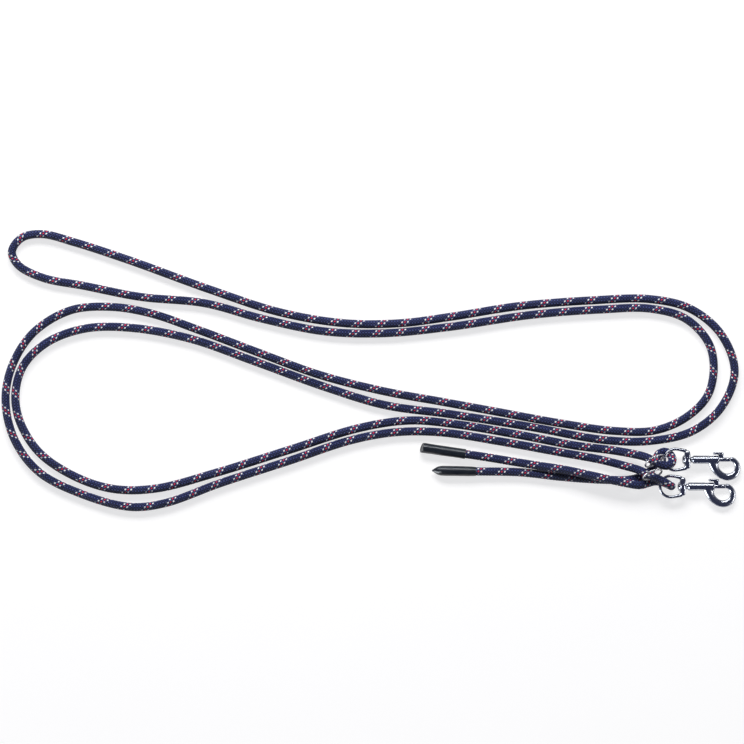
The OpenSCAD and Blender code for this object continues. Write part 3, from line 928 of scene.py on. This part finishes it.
@dataclass
class BoltSnap:
    """One swivel bolt snap. Its sizes are in millimetres along its own axes."""

    number: int
    at: tuple[float, float, float]  # the middle of the eye's far wire, in metres
    droop: float = 5.9              # degrees that it slopes down towards the hook
    eye_radius: float = 11.6
    eye_wire: float = 1.5
    bar_x: float = 21.8             # the eye's base block
    bar_end: float = 28.8
    neck_x: float = 29.1            # the barrel's neck and the barrel
    barrel_x: float = 31.3
    barrel_end: float = 59.9
    barrel_radius: float = 4.7
    bolt_radius: float = 2.5        # the bolt, shut
    bolt_x: float = 50.6
    bolt_end: float = 72.7
    pin_radius: float = 2.0         # the swivel pin's shank
    pin_end: float = 35.3
    clearance: float = 0.08         # room round the pin and round the bolt
    travel: float = 10.0            # how far the bolt slides
    knob_top: float = 8.3

    def placed(self, shape: Shape) -> Shape:
        """Puts a shape in its place: turned about y by the droop, made metres and shifted.

        Args:
            shape: the shape, in millimetres along the snap's own axes.

        Returns:
            The shape in the frame.
        """
        a = math.radians(self.droop)
        lean = np.array([[math.cos(a), 0, math.sin(a)], [0, 1, 0], [-math.sin(a), 0, math.cos(a)]])
        return shape.moved(0.001 * lean, np.array(self.at))

    def named(self, part: str) -> str:
        """The name of one of this snap's parts."""
        return f"snap_{self.number}_{part}"

    def eye(self, material: bpy.types.Material) -> bpy.types.Object:
        """The bow, whose legs lean in to a rounded base block, with a boss for the pin.

        The bow is a half circle and two legs. Its wire grows evenly along the legs.

        Args:
            material: its finish.

        Returns:
            The piece.
        """
        half_turn = np.radians(np.linspace(90, 270, 49))
        bow = np.stack([self.eye_radius + self.eye_radius * np.cos(half_turn),
                        self.eye_radius * np.sin(half_turn), 0 * half_turn], 1)
        leg_end = np.array([[self.bar_x + 2.5, 9.3, 0.0]])
        path = spline(np.vstack([leg_end, [[17.5, 10.9, 0.0]], bow[::4], [[17.5, -10.9, 0.0]],
                                 leg_end * [1, -1, 1]]), 10)
        line = Line.through(path, 0.4, (0.0, 0.0, 1.0))
        # The wire starts a little full, since melting and smoothing take some of it off.
        full, growth, grows_from, grows_over = 0.15, 0.28, 13, 10
        grown = np.clip((line.points[:, 0] - grows_from) / grows_over, 0, 1)
        grow = (self.eye_wire + full) * (1 + growth * grown)
        middle = (self.bar_x + self.bar_end) / 2
        solids = [
            swept(line, grow, grow, 24),
            pillow((middle, 0, 0), (3.55, 10.2, 3.2), 3.6),
            pillow((middle, 0, 0), (3.5, 4.4, 3.75), 2.4),
        ]
        bore_x, bore_end, bore_r = self.bar_x - 2, self.bar_end + 2, self.pin_radius + self.clearance
        bore = turned([(bore_x, 0), (bore_x, bore_r), (bore_end, bore_r), (bore_end, 0)])
        piece = cast(self.named("eye"), [self.placed(s) for s in solids], [self.placed(bore)],
                     voxel=0.00028, blend=9)
        return fit(piece, self.named("eye"), material, self.named("swivel_eye"))

    def pin(self, material: bpy.types.Material) -> bpy.types.Object:
        """The swivel's rivet: a profile with a domed head and a shank, turned about the snap's axis.

        Args:
            material: its finish.

        Returns:
            The piece.
        """
        r, head, end = self.pin_radius, self.bar_x - 0.3, self.pin_end
        profile = [
            (head - 2.0, 0), (head - 1.98, 1.0), (head - 1.88, 2.0), (head - 1.68, 3.0),
            (head - 1.35, 3.9), (head - 0.9, 4.6), (head - 0.4, 4.85), (head, 4.6), (head, r + 0.3),
            (head + 0.2, r), (end - 0.3, r), (end, r - 0.3), (end, 0),
        ]
        piece = self.placed(turned(profile)).piece(self.named("pin"))
        piece.data.set_sharp_from_angle(angle=math.radians(50))
        return fit(piece, self.named("hook"), material, self.named("swivel_pin"))

    def hook(self, material: bpy.types.Material) -> bpy.types.Object:
        """Barrel and hook as one casting.

        The barrel is a turned profile. The hook is a squarish oval carried round a spline, and each
        station of the spline is x, y, half the width in the hook's plane and half the thickness.

        Args:
            material: its finish.

        Returns:
            The piece.
        """
        stations = np.array([
            (53.3, 0.6, 5.0, 3.6), (54.2, -3.8, 5.7, 3.6), (55.4, -8.0, 4.9, 3.3),
            (58.2, -12.8, 4.25, 3.05), (62.5, -16.6, 3.95, 2.9), (67.2, -18.8, 3.9, 2.8),
            (72.2, -19.0, 4.0, 2.75), (76.6, -17.4, 3.9, 2.7), (79.8, -14.2, 3.6, 2.65),
            (81.2, -9.7, 3.35, 2.6), (80.4, -5.1, 3.15, 2.6), (78.0, -1.6, 2.95, 2.6),
            (75.3, 0.1, 2.75, 2.6), (72.95, 0.3, 2.6, 2.5),
        ])
        curve = spline(np.column_stack([stations[:, :2], 0 * stations[:, 0], stations[:, 2:]]), 16)
        line = Line.through(curve[:, :3], 0.35, (1.0, 0.0, 0.0))
        reach = np.concatenate([[0], np.cumsum(np.linalg.norm(np.diff(curve[:, :3], axis=0), axis=1))])
        wide, thick = (np.interp(line.along, reach, curve[:, k]) for k in (3, 4))
        r, x0, x1 = self.barrel_radius, self.barrel_x, self.barrel_end
        barrel = turned([
            (self.neck_x, 0), (self.neck_x, 2.9), (self.neck_x + 0.3, 3.2), (x0 - 0.6, 3.2),
            (x0 - 0.1, 3.9), (x0 + 0.5, r - 0.2), (x0 + 1.3, r - 0.02), ((x0 + x1) / 2, r - 0.12),
            (x1 - 1.2, r - 0.05), (x1 - 0.4, r - 0.15), (x1, r - 0.6), (x1, 0),
        ])
        web = pillow((56.0, -2.4, 0), (4.6, 3.6, 3.3), 3.5)
        bend = swept(line, wide, thick, 36, 2.15)
        bore_x, bore_end, bore_r = self.pin_end, self.bolt_end + 0.1, self.bolt_radius + self.clearance
        bore = turned([(bore_x, 0), (bore_x, bore_r), (bore_end, bore_r), (bore_end, 0)])
        slot_x, slot_end = x1 - self.travel - 0.6, x1 + 1.0
        slot = pillow(((slot_x + slot_end) / 2, 5.0, 0), ((slot_end - slot_x) / 2, 5.0, 1.8), 12.0, 24)
        piece = cast(self.named("hook"), [self.placed(s) for s in (barrel, web, bend)],
                     [self.placed(s) for s in (bore, slot)], voxel=0.00030, blend=9)
        return fit(piece, self.named("hook"), material, self.named("hook_body"))

    def bolt(self, material: bpy.types.Material) -> bpy.types.Object:
        """The sliding bolt: a turned profile with a rounded nose, a chamfered tail and a wear groove.

        Args:
            material: its finish.

        Returns:
            The piece.
        """
        r, x0, x1 = self.bolt_radius, self.bolt_x, self.bolt_end
        profile = [
            (x0, 0), (x0, r - 0.5), (x0 + 0.4, r), (x0 + 6, r), (x0 + 12, r), (x1 - 4.2, r),
            (x1 - 4.0, r - 0.06), (x1 - 3.6, r - 0.06), (x1 - 3.4, r), (x1 - 0.9, r),
            (x1 - 0.5, r - 0.12), (x1 - 0.15, r - 0.5), (x1, r - 1.0), (x1, 0),
        ]
        piece = self.placed(turned(profile, 56)).piece(self.named("bolt_rod"))
        piece.data.set_sharp_from_angle(angle=math.radians(50))
        return fit(piece, self.named("plunger"), material, self.named("bolt"))

    def knob(self, material: bpy.types.Material) -> bpy.types.Object:
        """The thumb knob: a tongue-shaped plate that reaches back from the top of its stem.

        The plate and its lip are rounded blocks, and the stem a squarish oval carried up a spline.

        Args:
            material: its finish.

        Returns:
            The piece.
        """
        stem = self.barrel_end + 0.3
        end = stem + 5.4
        top = self.knob_top
        plate = pillow((end - 5.8, top - 1.45, 0), (5.9, 1.45, 3.5), 3.2)
        lip = pillow((end - 9.8, top - 1.4, 0), (2.0, 1.5, 3.3), 2.4)
        post = np.array([(stem + 3.2, -1.0, 0.0), (stem + 3.1, 2.2, 0.0), (stem + 2.8, 4.6, 0.0),
                         (stem + 2.0, top - 1.4, 0.0)])
        line = Line.through(spline(post, 8), 0.3, (1.0, 0.0, 0.0))
        share = line.along / line.along[-1]
        stem_solid = swept(line, 3.1 - 0.1 * share, 1.42 + 0.5 * share ** 3, 24, 3.5)
        piece = cast(self.named("knob"), [self.placed(s) for s in (plate, lip, stem_solid)], [],
                     voxel=0.00020, blend=4)
        return fit(piece, self.named("plunger"), material, self.named("thumb_knob"))

    def spring(self, material: bpy.types.Material) -> bpy.types.Object:
        """The spring behind the bolt: a wire carried along a helix.

        The helix climbs evenly with its turns, less a slow sine that closes it up towards both ends.

        Args:
            material: its finish.

        Returns:
            The piece.
        """
        turns, wire, coil, gap, closing = 7.0, 0.35, self.bolt_radius - 0.5, 0.05, 0.35
        share = np.linspace(0, 1, 720)
        first, last = self.pin_end + wire + gap, self.bolt_x - wire - gap
        x = first + (last - first) * (share - closing / turns * np.sin(2 * np.pi * share))
        turn = 2 * np.pi * turns * share
        path = np.stack([x, coil * np.cos(turn), coil * np.sin(turn)], 1)
        line = Line.through(path, 0.22, (1.0, 0.0, 0.0))
        thick = np.full(len(line.points), wire)
        piece = self.placed(swept(line, thick, thick, 10)).piece(self.named("coil"))
        fit(piece, self.named("hook"), material, self.named("spring"))
        ends = np.array([[self.pin_end, 0.0, 0.0], [self.bolt_x, 0.0, 0.0]])
        fixed, free = self.placed(Shape(ends, np.zeros((0, 4), int))).points
        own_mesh(piece)
        return piece

    def build(self, materials: dict[str, bpy.types.Material]) -> list[bpy.types.Object]:
        """The whole snap.

        Args:
            materials: the finishes, among them casting, turned and spring.

        Returns:
            Its pieces.
        """
        return [
            self.eye(materials["casting"]), self.pin(materials["turned"]), self.hook(materials["casting"]),
            self.bolt(materials["turned"]), self.knob(materials["casting"]), self.spring(materials["spring"]),
        ]


# --- Studio ---------------------------------------------------------------------------------------


class Shows(Enum):
    """Where a lamp's light is seen, as (whether on dull surfaces, whether in shiny ones)."""

    ON_DULL = (True, False)
    IN_SHINE = (False, True)


@dataclass(frozen=True)
class Lamp:
    """A soft rectangular lamp that looks at the middle of the layout."""

    name: str
    place: tuple[float, float, float]
    size: tuple[float, float]
    power: float
    colour: Colour
    shows: Shows

    def build(self) -> bpy.types.Object:
        """Hangs the lamp.

        Returns:
            The lamp.
        """
        data = bpy.data.lights.new(self.name, "AREA")
        data.shape, data.energy, data.color = "RECTANGLE", self.power, self.colour
        data.size, data.size_y = self.size
        lamp = bpy.data.objects.new(self.name, data)
        lamp.visible_diffuse, lamp.visible_glossy = self.shows.value
        bpy.context.scene.collection.objects.link(lamp)
        aim(lamp, self.place, (0.0, 0.0, 0.0))
        return lamp


def aim(thing: bpy.types.Object, place: tuple[float, float, float], at: tuple[float, float, float]) -> None:
    """Turns a lamp or camera to look from a place at a point, with its top towards +Y.

    Args:
        thing: the lamp or camera.
        place: where it stands.
        at: the point that it looks at.
    """
    back = unit(np.array(place) - np.array(at))
    right = unit(np.cross((0.0, 1.0, 1e-4), back))
    up = np.cross(back, right)
    turn = np.column_stack([right, up, back])
    thing.matrix_world = Matrix([[*turn[k], place[k]] for k in range(3)] + [[0, 0, 0, 1]])


@dataclass
class Studio:
    """The camera straight above, a pale floor and soft light from beyond the layout's far side."""

    centre: tuple[float, float] = (0.0011, -0.00165)
    width: float = 0.8184          # what the lens takes in at the rope's height
    height: float = 5.0            # the camera's, above the rope
    floor_colour: Colour = (0.36, 0.36, 0.365)
    floor_glow: float = 0.74       # a light table: its own light keeps the shadows pale
    lamps: tuple[Lamp, ...] = (
        Lamp("key", (-0.3, 2.3, 1.9), (2.8, 0.9), 135.0, (1.0, 0.985, 0.96), Shows.ON_DULL),
        Lamp("far_strip", (-0.28, 2.15, 1.78), (3.4, 0.6), 55.0, (0.95, 0.97, 1.0), Shows.IN_SHINE),
        Lamp("low_left", (-1.9, -1.5, 1.0), (1.8, 0.9), 48.0, (0.90, 0.95, 1.0), Shows.IN_SHINE),
        Lamp("right_strip", (2.2, -0.6, 1.2), (0.4, 1.4), 14.0, (1.0, 1.0, 1.0), Shows.IN_SHINE),
    )

    def camera(self) -> bpy.types.Object:
        """A camera high above the middle, looking straight down.

        Its focal length is the sensor's width times the camera's height over the view's width.

        Returns:
            The camera.
        """
        data = bpy.data.cameras.new("camera")
        data.sensor_width = 36.0
        data.lens = data.sensor_width * self.height / self.width
        data.clip_end = 50.0
        camera = bpy.data.objects.new("camera", data)
        bpy.context.scene.collection.objects.link(camera)
        bpy.context.scene.camera = camera
        aim(camera, (*self.centre, self.height + LOW), (*self.centre, LOW))
        return camera

    def floor(self) -> bpy.types.Object:
        """A wide pale floor with a barely visible mottle.

        Returns:
            The floor.
        """
        bench = NodeBench("pale_floor")
        bench.set(base_color=bench.mix(bench.spread(bench.noise(9.0), 0.3, 0.7, 0.0, 1.0), self.floor_colour,
                                       tuple(0.985 * c for c in self.floor_colour)),
                  roughness=0.9, specular_ior_level=0.1, emission_strength=self.floor_glow)
        bench.shader.inputs["Emission Color"].default_value = (1.0, 1.0, 1.0, 1.0)
        reach = 9.0
        corners = reach * np.array([(-1, -1, 0), (1, -1, 0), (1, 1, 0), (-1, 1, 0)], float)
        floor = Shape(corners, np.array([[0, 1, 2, 3]])).piece("floor")
        paint(floor, bench.material)
        return floor

    def build(self) -> None:
        """Sets up the camera, floor, lamps and the dim room that shows in the chrome."""
        self.camera()
        self.floor()
        for lamp in self.lamps:
            lamp.build()
        scene = bpy.context.scene
        scene.world = bpy.data.worlds.new("room")
        scene.world.use_nodes = True
        room = scene.world.node_tree.nodes["Background"]
        room.inputs["Color"].default_value = (0.045, 0.055, 0.12, 1.0)
        room.inputs["Strength"].default_value = 0.6
        scene.view_settings.view_transform = "Standard"


def main() -> None:
    """Builds the studio, the rope and everything on it."""
    logging.basicConfig(level=logging.INFO, format="%(name)s: %(message)s")
    Studio().build()
    rope = Rope()
    materials = {
        "braid": BraidFinish().material(), "sleeve": SleeveFinish().material(), "casting": CASTING.material(),
        "turned": TURNED_CHROME.material(), "wire": WIRE.material(), "spring": SPRING_STEEL.material(),
    }
    cord = rope.build(materials["braid"])
    sleeves = [TipSleeve(1, pinched=False).build(rope, materials["sleeve"]),
               TipSleeve(2, pinched=True).build(rope, materials["sleeve"])]
    SlipRing(1, (0.3105, -0.099, 0.0215), lean=65, turn=20, roll=-22).build(materials["wire"])
    SlipRing(2, (0.3085, -0.114, 0.0215), lean=64, turn=8, roll=-30).build(materials["wire"])
    BoltSnap(1, (0.3225, -0.098, 0.0118)).build(materials)
    BoltSnap(2, (0.3175, -0.1275, 0.0116)).build(materials)


if __name__ == "__main__":
    main()
